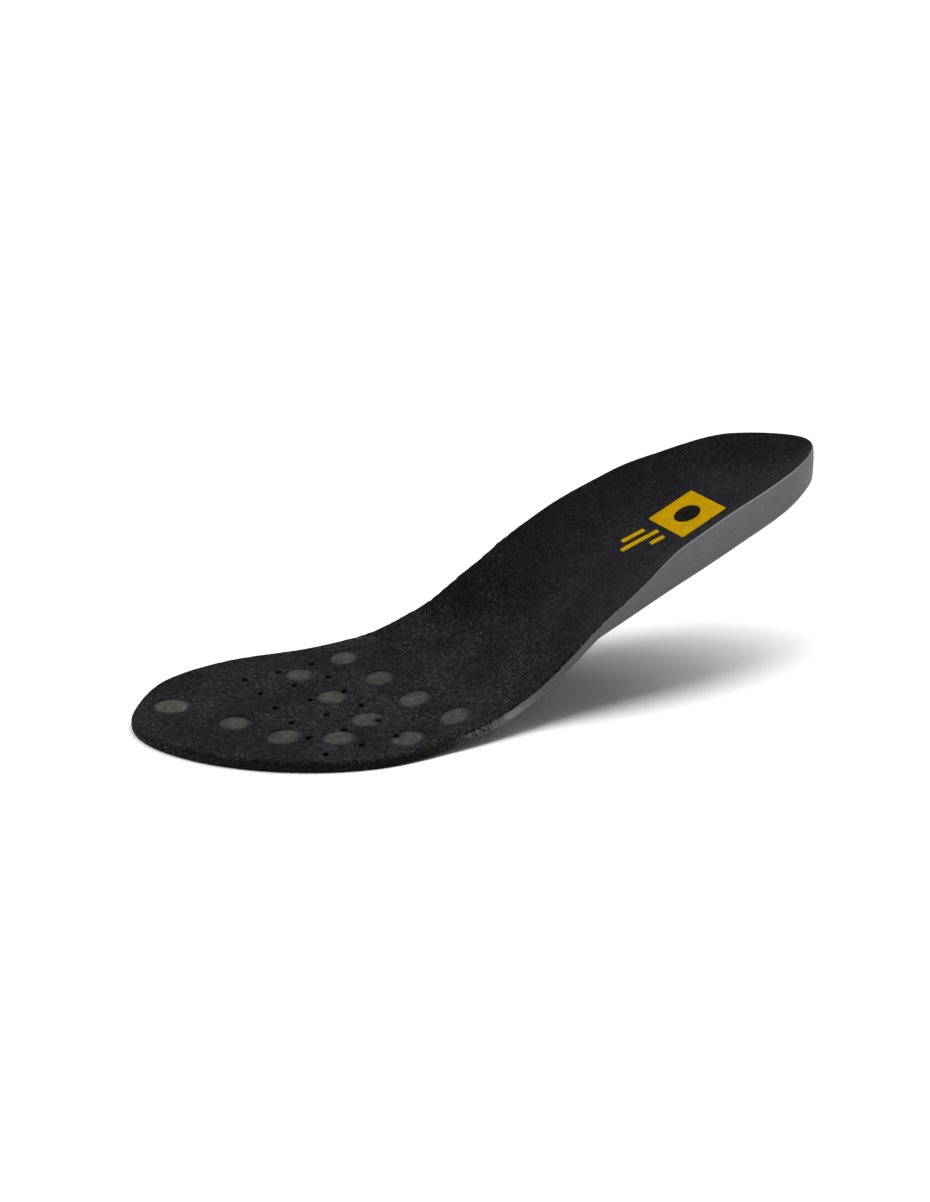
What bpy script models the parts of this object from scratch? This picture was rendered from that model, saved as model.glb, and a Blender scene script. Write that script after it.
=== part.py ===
"""Cushioned insole for a left shoe: a black cover laminated to a dark forefoot foam and a grey
moulded heel and arch cushion, with twelve grey cushion discs set in windows of the cover.

+X runs from the toe to the heel, +Y to the big-toe side, +Z up. The origin is on the underside,
at the middle of the flat forefoot. The insole is drawn flat and then bent up behind the ball.
"""
import bmesh
import bpy
import numpy as np
from math import cos, radians, sin, tan
from mathutils import Matrix, Vector

MM = 0.001

# Plan outline seen from above (x, y) in mm, from the toe tip round the big-toe side to the heel
# and back along the little-toe side.
OUTLINE = [
    (-50, 3), (-46.5, 15), (-33, 33.5), (-7.5, 43.5), (24, 44), (60.5, 41), (101, 31),
    (140, 30), (179, 30.5), (204, 23.5), (218.5, 10.5), (225, -3.5), (222.5, -11.5),
    (207.5, -22), (177, -29), (137, -34.5), (101, -38), (60, -47), (24.5, -52), (-5.5, -45),
    (-31, -29.5), (-46, -11.5),
]

# The insole bends about lines turned by this angle from the Y axis, as the ball of a foot does.
FLEX_TURN = radians(8.9)

# Slope of the thin sheet (degrees) at distances k (mm) behind the origin, square to those lines.
SHEET_SLOPE = [(10, 0), (40, 6.8), (60, 14), (80, 26.3), (95, 36.3), (108, 38), (123, 31.5),
               (135, 28.5), (150, 23.2), (225, 23.2)]
KINK_K = 111 * MM                 # where the flat-bottomed heel block leaves the sheet
HEEL_PITCH = radians(23.2)        # slope of the heel block's flat underside
SEAM_K = 60 * MM                  # seam between forefoot foam and heel cushion, and flex axis

SHEET_T = 4.0 * MM                # sheet thickness with its cover
COVER_T = 1.0 * MM
GAP = 0.3 * MM                    # clearance between touching pieces

# Height of the rim above the middle of the insole (k mm, rise mm) on either side.
LATERAL_RISE = [(55, 0), (70, 0.1), (88, 0.3), (113, 1.6), (133, 3.1), (153, 7.6), (173, 8.2),
                (194, 7.6), (222, 5)]
MEDIAL_RISE = [(50, 0), (75, 4.1), (99, 10.5), (123, 12.3), (143, 12.9), (163, 12.4),
               (183, 9.8), (202, 8.1), (222, 5)]
LATERAL_REACH = [(60, 16), (222, 18)]                 # width of the curved side of the cup
MEDIAL_REACH = [(60, 30), (99, 34), (143, 30), (183, 20), (222, 18)]
SIDE_BLEND = 6 * MM               # half width of the change from one side's rise to the other's

DRAFT = 4.4 * MM                  # how far the block's underside is drawn in from the rim
DRAFT_START, DRAFT_FULL = 80 * MM, 150 * MM
HEEL_CENTRE = 193 * MM            # centre of the round heel, for the draft round its back

# Cushion discs: centres (x, y) in mm. The first is the larger one under the big toe.
DISCS = [(-34.2, 11), (-16, -9.5), (15.4, 22.5), (34.7, 29.3), (22, 0), (42, 7), (49, -15),
         (58, -34.8), (-2, -25.3), (15.7, -32.3), (29, -21.9), (38, -41.3)]
TOE_DISC_R = 6.3 * MM
DISC_R = 5.2 * MM
DISC_RECESS = 0.3 * MM            # disc top below the cover's surface
POCKET_DEPTH = 1.0 * MM           # depth of a disc's pocket in the foam

# Vents: three rows of six through cover and foam.
VENT_R = 1.25 * MM
VENT_PITCH = 13.7 * MM
VENT_CENTRE = (15.1 * MM, -6.4 * MM)
VENT_TURN = radians(10.8)
VENT_ROWS, VENTS_IN_ROW = 3, 6

# Printed label on the heel: a patch with a round inlay, and three bars in front of it.
LABEL_T = 0.3 * MM
LABEL_CENTRE = (172.5 * MM, -2.3 * MM)
LABEL_SIZE = (20.5 * MM, 22.6 * MM)
LABEL_TURN = radians(10)
EMBLEM_R = 5.0 * MM
BAR_WIDTH = 2.4 * MM
BARS = [(151.5, 1.8, 9.5), (152, -3.2, 15.5), (156.8, -8.5, 5.8)]    # x, y and length in mm

FLEX_DOWN, FLEX_UP = radians(28), radians(26)   # room that the seam leaves for flexing
FLEX_AXIS_H = SHEET_T - COVER_T - GAP           # height of the flex axis above the underside

ACROSS = 12                       # cells from one side to the other
STATION_STEP = 7 * MM
END_STATIONS = [0.6 * MM, 2.5 * MM, 6 * MM]     # distances of the end stations from toe and heel


def curve(knots, k, scale=1.0):
    """Monotone cubic through (k mm, value) knots, flat beyond its ends."""
    kx = np.array([a * MM for a, _ in knots])
    ky = np.array([b * scale for _, b in knots])
    step = np.diff(kx)
    rate = np.diff(ky) / step
    slope = np.zeros(len(kx))
    for i in range(1, len(kx) - 1):
        if rate[i - 1] * rate[i] > 0:
            wa = 2 * step[i] + step[i - 1]
            wb = step[i] + 2 * step[i - 1]
            slope[i] = (wa + wb) / (wa / rate[i - 1] + wb / rate[i])
    k = np.clip(k, kx[0], kx[-1])
    i = np.clip(np.searchsorted(kx, k) - 1, 0, len(step) - 1)
    u = (k - kx[i]) / step[i]
    return (ky[i] * (1 + 2 * u) * (1 - u) ** 2 + step[i] * slope[i] * u * (1 - u) ** 2
            + ky[i + 1] * u * u * (3 - 2 * u) + step[i] * slope[i + 1] * u * u * (u - 1))


def turned(x, y):
    """Plan coordinates (k, e) square to and along the flex lines, from (x, y)."""
    c, s = cos(FLEX_TURN), sin(FLEX_TURN)
    return x * c + y * s, y * c - x * s


def outline_loop(per_side=24):
    """Closed Catmull-Rom curve through OUTLINE, in (k, e)."""
    points = np.array(OUTLINE, float) * MM
    loop = []
    for i in range(len(points)):
        p0, p1, p2, p3 = (points[(i + d) % len(points)] for d in (-1, 0, 1, 2))
        t0 = 0.0
        t1 = t0 + np.linalg.norm(p1 - p0) ** 0.5
        t2 = t1 + np.linalg.norm(p2 - p1) ** 0.5
        t3 = t2 + np.linalg.norm(p3 - p2) ** 0.5
        for t in np.linspace(t1, t2, per_side, endpoint=False):
            a1 = (t1 - t) / (t1 - t0) * p0 + (t - t0) / (t1 - t0) * p1
            a2 = (t2 - t) / (t2 - t1) * p1 + (t - t1) / (t2 - t1) * p2
            a3 = (t3 - t) / (t3 - t2) * p2 + (t - t2) / (t3 - t2) * p3
            b1 = (t2 - t) / (t2 - t0) * a1 + (t - t0) / (t2 - t0) * a2
            b2 = (t3 - t) / (t3 - t1) * a2 + (t - t1) / (t3 - t1) * a3
            loop.append((t2 - t) / (t2 - t1) * b1 + (t - t1) / (t2 - t1) * b2)
    loop = np.array(loop)
    return np.stack(turned(loop[:, 0], loop[:, 1]), axis=1)


LOOP = outline_loop()
TOE, HEEL = LOOP[:, 0].argmin(), LOOP[:, 0].argmax()
K_TOE, K_HEEL = LOOP[TOE, 0], LOOP[HEEL, 0]


def side(start, stop):
    """One side of the outline from the toe to the heel, as points with rising k."""
    count = (stop - start) % len(LOOP)
    points = LOOP[(start + np.arange(count + 1)) % len(LOOP)]
    return points[np.argsort(points[:, 0])]


MEDIAL_SIDE = side(TOE, HEEL)
LATERAL_SIDE = side(HEEL, TOE)

# Side view of the bent sheet's underside: X and Z at each k.
PROFILE_K = np.linspace(K_TOE, K_HEEL, 1200)
PROFILE_ANGLE = curve(SHEET_SLOPE, PROFILE_K, radians(1))


def running_sum(rate):
    """Integral of rate along PROFILE_K, zero at k = 0."""
    total = np.append(0, np.cumsum((rate[1:] + rate[:-1]) / 2 * np.diff(PROFILE_K)))
    return total - np.interp(0, PROFILE_K, total)


PROFILE_X = running_sum(np.cos(PROFILE_ANGLE))
PROFILE_Z = running_sum(np.sin(PROFILE_ANGLE))


def profile(k):
    return [np.interp(k, PROFILE_K, v) for v in (PROFILE_X, PROFILE_Z, PROFILE_ANGLE)]


def place(k, e, h):
    """World points at plan (k, e) and height h above the sheet's underside."""
    x, z, angle = profile(k)
    along = x - h * np.sin(angle)
    up = z + h * np.cos(angle)
    c, s = cos(FLEX_TURN), sin(FLEX_TURN)
    return np.stack([along * c - e * s, along * s + e * c, up], axis=-1)


def upright(k, e, h):
    """Matrix at plan (k, e, h) with its Z along the sheet's normal."""
    _, _, angle = profile(k)
    turn = Matrix.Rotation(FLEX_TURN, 4, "Z") @ Matrix.Rotation(-float(angle), 4, "Y")
    return Matrix.Translation(Vector(place(k, e, h))) @ turn


def side_lines(k):
    """The outline's e on the little-toe and the big-toe side at k."""
    return [np.interp(k, line[:, 0], line[:, 1]) for line in (LATERAL_SIDE, MEDIAL_SIDE)]


def edge_distance(k, e):
    """Plan distance to the outline's nearest segment."""
    start, run = LOOP, np.roll(LOOP, -1, axis=0) - LOOP
    to_point = np.stack([k, e], axis=-1)[..., None, :] - start
    share = (to_point * run).sum(axis=-1) / (run * run).sum(axis=-1)
    nearest = to_point - np.clip(share, 0, 1)[..., None] * run
    return np.hypot(nearest[..., 0], nearest[..., 1]).min(axis=-1)


def smoothstep(x):
    x = np.clip(x, 0, 1)
    return x * x * (3 - 2 * x)


def top_height(k, e):
    """Height of the cover's surface above the sheet's underside."""
    k, e = np.asarray(k, float), np.asarray(e, float)
    lateral, medial = side_lines(k)
    off_centre = e - (lateral + medial) / 2
    share = smoothstep(off_centre / (2 * SIDE_BLEND) + 0.5)
    rise = (1 - share) * curve(LATERAL_RISE, k, MM) + share * curve(MEDIAL_RISE, k, MM)
    reach = (1 - share) * curve(LATERAL_REACH, k, MM) + share * curve(MEDIAL_REACH, k, MM)
    inward = np.clip(edge_distance(k, e) / reach, 0, 1)
    return SHEET_T + rise * (1 - inward) ** 2


def under_height(k):
    """Height of the underside: the sheet's own, then the heel block's flat face below it."""
    x, z, angle = profile(k)
    x0, z0, _ = profile(KINK_K)
    above = (z - z0) * cos(HEEL_PITCH) - (x - x0) * sin(HEEL_PITCH)
    return np.where(k > KINK_K, -above / np.cos(angle - HEEL_PITCH), 0.0)


def drawn_in(k, e):
    """Plan position on the underside, drawn in from the rim round the heel block."""
    inset = DRAFT * smoothstep((k - DRAFT_START) / (DRAFT_FULL - DRAFT_START))
    k_mid = np.minimum(k, HEEL_CENTRE)
    lateral, medial = side_lines(k_mid)
    centre, half = (lateral + medial) / 2, (medial - lateral) / 2
    shrink = 1 - inset / half
    return k_mid + (k - k_mid) * shrink, centre + (e - centre) * shrink


def cover_top(k, e):
    return k, e, top_height(k, e)


def cover_bottom(k, e):
    return k, e, top_height(k, e) - COVER_T


def foam_top(k, e):
    return k, e, top_height(k, e) - COVER_T - GAP


def foam_bottom(k, e):
    return k, e, np.zeros_like(k)


def cushion_top(k, e):
    """The cushion's front edge leans back above the flex axis, so it can flex up."""
    h = top_height(k, e) - COVER_T - GAP
    front = SEAM_K + GAP + np.maximum(h - FLEX_AXIS_H, 0) * tan(FLEX_UP)
    return np.maximum(k, front), e, h


def cushion_bottom(k, e):
    """It leans back below the axis too, so it can flex down until the insole lies flat."""
    k_in, e_in = drawn_in(k, e)
    k_in = np.maximum(k_in, SEAM_K + GAP + FLEX_AXIS_H * tan(FLEX_DOWN))
    return k_in, e_in, under_height(k_in)


def stations(*breaks):
    """Values of k through the breaks, with even steps between them."""
    ks = [breaks[0]]
    for start, stop in zip(breaks, breaks[1:]):
        steps = max(1, round((stop - start) / STATION_STEP))
        ks.extend(np.linspace(start, stop, steps + 1)[1:])
    return np.array(ks)


def material(name, color, roughness):
    mat = bpy.data.materials.new(name)
    mat.use_nodes = True
    shader = mat.node_tree.nodes["Principled BSDF"]
    shader.inputs["Base Color"].default_value = (*color, 1)
    shader.inputs["Roughness"].default_value = roughness
    shader.inputs["Metallic"].default_value = 0
    return mat


def add_object(name, bm, mat=None):
    bmesh.ops.recalc_face_normals(bm, faces=bm.faces)
    mesh = bpy.data.meshes.new(name)
    bm.to_mesh(mesh)
    bm.free()
    mesh.shade_smooth()
    mesh.set_sharp_from_angle(angle=radians(40))
    obj = bpy.data.objects.new(name, mesh)
    bpy.context.scene.collection.objects.link(obj)
    if mat:
        mesh.materials.append(mat)
    return obj


def shell_between(upper, lower):
    """bmesh of the closed solid between two equal grids of points."""
    bm = bmesh.new()
    grids = [[[bm.verts.new(p) for p in row] for row in grid] for grid in (upper, lower)]
    rows, cols = len(upper), len(upper[0])
    for grid in grids:
        for i in range(rows - 1):
            for j in range(cols - 1):
                bm.faces.new((grid[i][j], grid[i + 1][j], grid[i + 1][j + 1], grid[i][j + 1]))
    ring = [(i, 0) for i in range(rows - 1)] + [(rows - 1, j) for j in range(cols - 1)]
    ring += [(i, cols - 1) for i in range(rows - 1, 0, -1)] + [(0, j) for j in range(cols - 1, 0, -1)]
    for (i, j), (m, n) in zip(ring, ring[1:] + ring[:1]):
        bm.faces.new((grids[0][i][j], grids[0][m][n], grids[1][m][n], grids[1][i][j]))
    return bm


def layer(name, ks, top, bottom, mat):
    """Closed solid between two surfaces, from side to side at every station."""
    share = 0.5 - 0.5 * np.cos(np.linspace(0, np.pi, ACROSS + 1))
    k = np.repeat(ks[:, None], ACROSS + 1, axis=1)
    lateral, medial = side_lines(k)
    e = lateral + (medial - lateral) * share
    return add_object(name, shell_between(place(*top(k, e)), place(*bottom(k, e))), mat)


def patch(name, centre, size, turn, cells, mat):
    """Thin printed rectangle that follows the cover's surface."""
    u, v = np.meshgrid(np.linspace(-0.5, 0.5, cells[0] + 1) * size[0],
                       np.linspace(-0.5, 0.5, cells[1] + 1) * size[1], indexing="ij")
    x = centre[0] + u * cos(turn) - v * sin(turn)
    y = centre[1] + u * sin(turn) + v * cos(turn)
    k, e = turned(x, y)
    h = top_height(k, e) + GAP
    return add_object(name, shell_between(place(k, e, h + LABEL_T), place(k, e, h)), mat)


def add_cylinder(bm, matrix, radius, low, high, segments):
    """Adds a cylinder along the matrix's Z, from low to high."""
    middle = matrix @ Matrix.Translation((0, 0, (low + high) / 2))
    bmesh.ops.create_cone(bm, cap_ends=True, segments=segments, radius1=radius,
                          radius2=radius, depth=high - low, matrix=middle)


def cutter(name, placements, radii, low, high, segments):
    """One hidden object that holds a cylinder at each placement."""
    bm = bmesh.new()
    for matrix, radius in zip(placements, radii):
        add_cylinder(bm, matrix, radius, low, high, segments)
    obj = add_object(name, bm)
    obj.hide_render = True
    obj.display_type = "WIRE"
    return obj


def cut(obj, tool):
    modifier = obj.modifiers.new("cut_" + tool.name, "BOOLEAN")
    modifier.operation = "DIFFERENCE"
    modifier.solver = "EXACT"
    modifier.object = tool


def vent_centres():
    """Plan (x, y) of every vent."""
    c, s = cos(VENT_TURN), sin(VENT_TURN)
    centres = []
    for row in range(VENT_ROWS):
        for place_in_row in range(VENTS_IN_ROW):
            u = (row - (VENT_ROWS - 1) / 2) * VENT_PITCH
            v = (place_in_row - (VENTS_IN_ROW - 1) / 2) * VENT_PITCH
            centres.append((VENT_CENTRE[0] + u * c - v * s, VENT_CENTRE[1] + u * s + v * c))
    return centres


def build():
    for obj in list(bpy.data.objects):
        bpy.data.objects.remove(obj)

    cover_mat = material("black_microfibre", (0.012, 0.012, 0.014), 0.95)
    foam_mat = material("dark_foam", (0.018, 0.017, 0.016), 0.9)
    cushion_mat = material("grey_moulded_foam", (0.11, 0.115, 0.115), 0.6)
    disc_mat = material("grey_disc", (0.065, 0.065, 0.06), 0.8)
    yellow = material("yellow_print", (0.62, 0.33, 0.01), 0.6)
    black = material("black_print", (0.015, 0.014, 0.012), 0.6)

    toe_end = [K_TOE + d for d in END_STATIONS]
    heel_end = [K_HEEL - d for d in reversed(END_STATIONS)]
    cover = layer("top_cover", stations(*toe_end, SEAM_K, KINK_K, *heel_end),
                  cover_top, cover_bottom, cover_mat)
    foam = layer("forefoot_foam", stations(*toe_end, SEAM_K), foam_top, foam_bottom, foam_mat)
    layer("heel_arch_cushion", stations(SEAM_K, KINK_K, *heel_end),
          cushion_top, cushion_bottom, cushion_mat)

    sheet_top = 3 * SHEET_T
    disc_places = [upright(*turned(x * MM, y * MM), 0) for x, y in DISCS]
    disc_radii = [TOE_DISC_R] + [DISC_R] * (len(DISCS) - 1)
    vents = vent_centres()
    vent_places = [upright(*turned(x, y), 0) for x, y in vents]
    pocket_floor = FLEX_AXIS_H - POCKET_DEPTH
    windows = cutter("window_cutter", disc_places, [r + GAP for r in disc_radii],
                     pocket_floor, sheet_top, segments=20)
    vent_tool = cutter("vent_cutter", vent_places, [VENT_R] * len(vents),
                       -SHEET_T, sheet_top, segments=8)
    for obj in (cover, foam):
        cut(obj, windows)
        cut(obj, vent_tool)

    for number, ((x, y), matrix, radius) in enumerate(zip(DISCS, disc_places, disc_radii), 1):
        bm = bmesh.new()
        add_cylinder(bm, Matrix(), radius, pocket_floor + GAP, SHEET_T - DISC_RECESS, 20)
        disc = add_object(f"cushion_disc_{number:02d}", bm, disc_mat)
        disc.matrix_world = matrix
        touching = radius + VENT_R + GAP
        if any(np.hypot(vx - x * MM, vy - y * MM) < touching for vx, vy in vents):
            cut(disc, vent_tool)

    label = patch("label_patch", LABEL_CENTRE, LABEL_SIZE, LABEL_TURN, (4, 4), yellow)
    emblem_place = upright(*turned(*LABEL_CENTRE), 0)
    print_low = SHEET_T + GAP
    emblem_hole = cutter("emblem_cutter", [emblem_place], [EMBLEM_R + GAP],
                         SHEET_T, sheet_top, segments=24)
    cut(label, emblem_hole)
    bm = bmesh.new()
    add_cylinder(bm, Matrix(), EMBLEM_R, print_low, print_low + LABEL_T, 24)
    emblem = add_object("label_emblem", bm, black)
    emblem.matrix_world = emblem_place
    for number, (x, y, length) in enumerate(BARS, 1):
        patch(f"label_bar_{number}", (x * MM, y * MM), (length * MM, BAR_WIDTH), 0, (3, 1), yellow)


build()
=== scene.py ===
"""Visual model of the cushioned insole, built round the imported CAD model.

+X runs from the toe to the heel, +Y to the big-toe side, +Z up, in metres. Shapes are made on the
flat plan, in (k, e, h): k runs square to the flex lines, e along them, and h is the height above
the sheet's underside. place() then bends them as the CAD model is bent.
"""

import itertools
from math import cos, pi, radians, sin, tau

import bpy
import numpy as np
from mathutils import Matrix, Vector
from mathutils.geometry import delaunay_2d_cdt


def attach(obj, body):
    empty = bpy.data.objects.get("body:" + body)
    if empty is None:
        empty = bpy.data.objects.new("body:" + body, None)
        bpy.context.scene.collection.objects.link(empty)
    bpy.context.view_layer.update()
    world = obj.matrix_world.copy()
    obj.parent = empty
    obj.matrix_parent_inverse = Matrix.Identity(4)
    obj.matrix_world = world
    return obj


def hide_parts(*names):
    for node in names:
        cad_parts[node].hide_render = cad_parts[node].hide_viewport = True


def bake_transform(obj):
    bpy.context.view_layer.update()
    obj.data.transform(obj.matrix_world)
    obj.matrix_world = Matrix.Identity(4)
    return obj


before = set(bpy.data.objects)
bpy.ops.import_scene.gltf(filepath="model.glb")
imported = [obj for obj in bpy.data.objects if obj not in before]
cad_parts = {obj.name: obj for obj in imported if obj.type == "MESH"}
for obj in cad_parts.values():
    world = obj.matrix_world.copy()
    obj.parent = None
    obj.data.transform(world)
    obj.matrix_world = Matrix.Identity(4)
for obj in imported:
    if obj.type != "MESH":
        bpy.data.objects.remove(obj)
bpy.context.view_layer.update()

MM = 0.001

# ---------------------------------------------------------------- camera
CAMERA_AZIMUTH = radians(-18.648)
CAMERA_ELEVATION = radians(22.738)
CAMERA_ROLL = radians(0.033)
CAMERA_DISTANCE = 0.709065
CAMERA_RIGHT, CAMERA_UP = 0.068664, 0.040912      # how far it stands off the line to the origin
CAMERA_LENS, CAMERA_SENSOR = 59.225, 36.0         # mm, along the long side
CAMERA_NEAR, CAMERA_FAR = 0.01, 100


def make_camera():
    """A camera that looks along a line through the origin and stands off that line."""
    a, e = CAMERA_AZIMUTH, CAMERA_ELEVATION
    back = Vector((sin(a) * cos(e), -cos(a) * cos(e), sin(e)))
    level = Vector((cos(a), sin(a), 0))
    raised = back.cross(level)
    right = cos(CAMERA_ROLL) * level + sin(CAMERA_ROLL) * raised
    up = back.cross(right)
    data = bpy.data.cameras.new("camera")
    data.lens, data.sensor_width = CAMERA_LENS, CAMERA_SENSOR
    data.clip_start, data.clip_end = CAMERA_NEAR, CAMERA_FAR
    camera = bpy.data.objects.new("camera", data)
    camera.matrix_world = Matrix((right, up, back)).transposed().to_4x4()
    camera.location = back * CAMERA_DISTANCE + right * CAMERA_RIGHT + up * CAMERA_UP
    bpy.context.scene.collection.objects.link(camera)
    bpy.context.scene.camera = camera


make_camera()

# ---------------------------------------------------------------- the CAD model's shape
# Lists of pairs are (k in mm, value), with heights and reaches in mm and slopes in degrees.
OUTLINE = [                       # x, y of the flat sheet, in mm
    (-50, 3), (-46.5, 15), (-33, 33.5), (-7.5, 43.5), (24, 44), (60.5, 41), (101, 31),
    (140, 30), (179, 30.5), (204, 23.5), (218.5, 10.5), (225, -3.5), (222.5, -11.5),
    (207.5, -22), (177, -29), (137, -34.5), (101, -38), (60, -47), (24.5, -52), (-5.5, -45),
    (-31, -29.5), (-46, -11.5),
]
FLEX_TURN = radians(8.9)
SHEET_SLOPE = [(10, 0), (40, 6.8), (60, 14), (80, 26.3), (95, 36.3), (108, 38), (123, 31.5),
               (135, 28.5), (150, 23.2), (225, 23.2)]
KINK_K = 111 * MM
HEEL_PITCH = radians(23.2)
SEAM_K = 60 * MM
SHEET_T = 4.0 * MM
COVER_T = 1.0 * MM
LATERAL_RISE = [(55, 0), (70, 0.1), (88, 0.3), (113, 1.6), (133, 3.1), (153, 7.6), (173, 8.2),
                (194, 7.6), (222, 5)]
MEDIAL_RISE = [(50, 0), (75, 4.1), (99, 10.5), (123, 12.3), (143, 12.9), (163, 12.4),
               (183, 9.8), (202, 8.1), (222, 5)]
LATERAL_REACH = [(60, 16), (222, 18)]
MEDIAL_REACH = [(60, 30), (99, 34), (143, 30), (183, 20), (222, 18)]
SIDE_BLEND = 6 * MM
DRAFT = 4.4 * MM
DRAFT_START, DRAFT_FULL = 80 * MM, 150 * MM
HEEL_CENTRE = 193 * MM
# x, y of the discs' centres, in mm
DISCS = [(-34.2, 11), (-16, -9.5), (15.4, 22.5), (34.7, 29.3), (22, 0), (42, 7), (49, -15),
         (58, -34.8), (-2, -25.3), (15.7, -32.3), (29, -21.9), (38, -41.3)]
POCKET_FLOOR = 1.7 * MM
VENT_R = 1.25 * MM
VENT_PITCH = 13.7 * MM
VENT_CENTRE = (15.1 * MM, -6.4 * MM)
VENT_TURN = radians(10.8)
VENT_ROWS, VENTS_IN_ROW = 3, 6
LABEL_CENTRE = (172.5 * MM, -2.3 * MM)
LABEL_SIZE = (20.5 * MM, 22.6 * MM)
LABEL_TURN = radians(10)
EMBLEM_R = 5.0 * MM
BAR_WIDTH = 2.4 * MM
BARS = [(151.5, 1.8, 9.5), (152, -3.2, 15.5), (156.8, -8.5, 5.8)]      # x, y and length, in mm


def curve(knots, k, scale=1.0):
    """Monotone cubic through (k mm, value) knots, flat beyond its ends."""
    kx = np.array([a * MM for a, _ in knots])
    ky = np.array([b * scale for _, b in knots])
    step = np.diff(kx)
    rate = np.diff(ky) / step
    slope = np.zeros(len(kx))
    for i in range(1, len(kx) - 1):
        if rate[i - 1] * rate[i] > 0:
            wa = 2 * step[i] + step[i - 1]
            wb = step[i] + 2 * step[i - 1]
            slope[i] = (wa + wb) / (wa / rate[i - 1] + wb / rate[i])
    k = np.clip(k, kx[0], kx[-1])
    i = np.clip(np.searchsorted(kx, k) - 1, 0, len(step) - 1)
    u = (k - kx[i]) / step[i]
    return (ky[i] * (1 + 2 * u) * (1 - u) ** 2 + step[i] * slope[i] * u * (1 - u) ** 2
            + ky[i + 1] * u * u * (3 - 2 * u) + step[i] * slope[i + 1] * u * u * (u - 1))


def turned(x, y):
    """Plan coordinates (k, e) from (x, y)."""
    c, s = cos(FLEX_TURN), sin(FLEX_TURN)
    return x * c + y * s, y * c - x * s


def evenly(loop, step):
    """A closed loop's points at an even spacing of about step."""
    closed = np.vstack([loop, loop[:1]])
    run = np.append(0, np.cumsum(np.linalg.norm(np.diff(closed, axis=0), axis=1)))
    at = np.linspace(0, run[-1], int(round(run[-1] / step)), endpoint=False)
    return np.stack([np.interp(at, run, closed[:, i]) for i in (0, 1)], axis=1)


def outline_loop(per_side=40):
    """Closed centripetal Catmull-Rom curve through OUTLINE, anticlockwise in (k, e)."""
    points = np.array(OUTLINE, float) * MM
    loop = []
    for i in range(len(points)):
        p0, p1, p2, p3 = (points[(i + d) % len(points)] for d in (-1, 0, 1, 2))
        t0 = 0.0
        t1 = t0 + np.linalg.norm(p1 - p0) ** 0.5
        t2 = t1 + np.linalg.norm(p2 - p1) ** 0.5
        t3 = t2 + np.linalg.norm(p3 - p2) ** 0.5
        for t in np.linspace(t1, t2, per_side, endpoint=False):
            a1 = (t1 - t) / (t1 - t0) * p0 + (t - t0) / (t1 - t0) * p1
            a2 = (t2 - t) / (t2 - t1) * p1 + (t - t1) / (t2 - t1) * p2
            a3 = (t3 - t) / (t3 - t2) * p2 + (t - t2) / (t3 - t2) * p3
            b1 = (t2 - t) / (t2 - t0) * a1 + (t - t0) / (t2 - t0) * a2
            b2 = (t3 - t) / (t3 - t1) * a2 + (t - t1) / (t3 - t1) * a3
            loop.append((t2 - t) / (t2 - t1) * b1 + (t - t1) / (t2 - t1) * b2)
    loop = np.array(loop)
    return np.stack(turned(loop[:, 0], loop[:, 1]), axis=1)[::-1]


EDGE_STEP = 0.7 * MM              # spacing of the points along the outline
PROFILE_POINTS = 1200
LOOP = evenly(outline_loop(), EDGE_STEP)
TOE, HEEL = LOOP[:, 0].argmin(), LOOP[:, 0].argmax()
K_TOE, K_HEEL = LOOP[TOE, 0], LOOP[HEEL, 0]


def side(start, stop):
    """One side of the outline between toe and heel, as points with rising k."""
    count = (stop - start) % len(LOOP)
    points = LOOP[(start + np.arange(count + 1)) % len(LOOP)]
    return points[np.argsort(points[:, 0])]


LATERAL_SIDE = side(TOE, HEEL)
MEDIAL_SIDE = side(HEEL, TOE)

PROFILE_K = np.linspace(K_TOE, K_HEEL, PROFILE_POINTS)
PROFILE_ANGLE = curve(SHEET_SLOPE, PROFILE_K, radians(1))


def running_sum(rate):
    """Integral of rate along PROFILE_K, zero at k = 0."""
    total = np.append(0, np.cumsum((rate[1:] + rate[:-1]) / 2 * np.diff(PROFILE_K)))
    return total - np.interp(0, PROFILE_K, total)


PROFILE_X = running_sum(np.cos(PROFILE_ANGLE))
PROFILE_Z = running_sum(np.sin(PROFILE_ANGLE))


def profile(k):
    """X, Z and slope of the bent sheet's underside; it runs on straight past toe and heel."""
    past = k - np.clip(k, K_TOE, K_HEEL)
    x, z, angle = (np.interp(k, PROFILE_K, v) for v in (PROFILE_X, PROFILE_Z, PROFILE_ANGLE))
    return x + past * np.cos(angle), z + past * np.sin(angle), angle


def place(k, e, h):
    """World points at plan (k, e) and height h above the sheet's underside."""
    x, z, angle = profile(k)
    along = x - h * np.sin(angle)
    up = z + h * np.cos(angle)
    c, s = cos(FLEX_TURN), sin(FLEX_TURN)
    return np.stack([along * c - e * s, along * s + e * c, up], axis=-1)


def side_lines(k):
    """The outline's e on the little-toe and the big-toe side at k."""
    return [np.interp(k, line[:, 0], line[:, 1]) for line in (LATERAL_SIDE, MEDIAL_SIDE)]


def nearest_on(loop, points, batch=4000):
    """Distance from each point to a closed loop, and the unit direction from the loop to it."""
    run = np.roll(loop, -1, axis=0) - loop
    length2 = (run * run).sum(axis=1)
    distance, direction = np.empty(len(points)), np.empty((len(points), 2))
    for first in range(0, len(points), batch):
        part = points[first:first + batch]
        offset = part[:, None, :] - loop
        share = np.clip((offset * run).sum(axis=-1) / length2, 0, 1)
        offset -= share[..., None] * run
        gaps = np.hypot(offset[..., 0], offset[..., 1])
        pick = gaps.argmin(axis=1)
        rows = np.arange(len(part))
        distance[first:first + batch] = gaps[rows, pick]
        direction[first:first + batch] = offset[rows, pick]
    return distance, direction / np.maximum(distance, 1e-9)[:, None]


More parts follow.
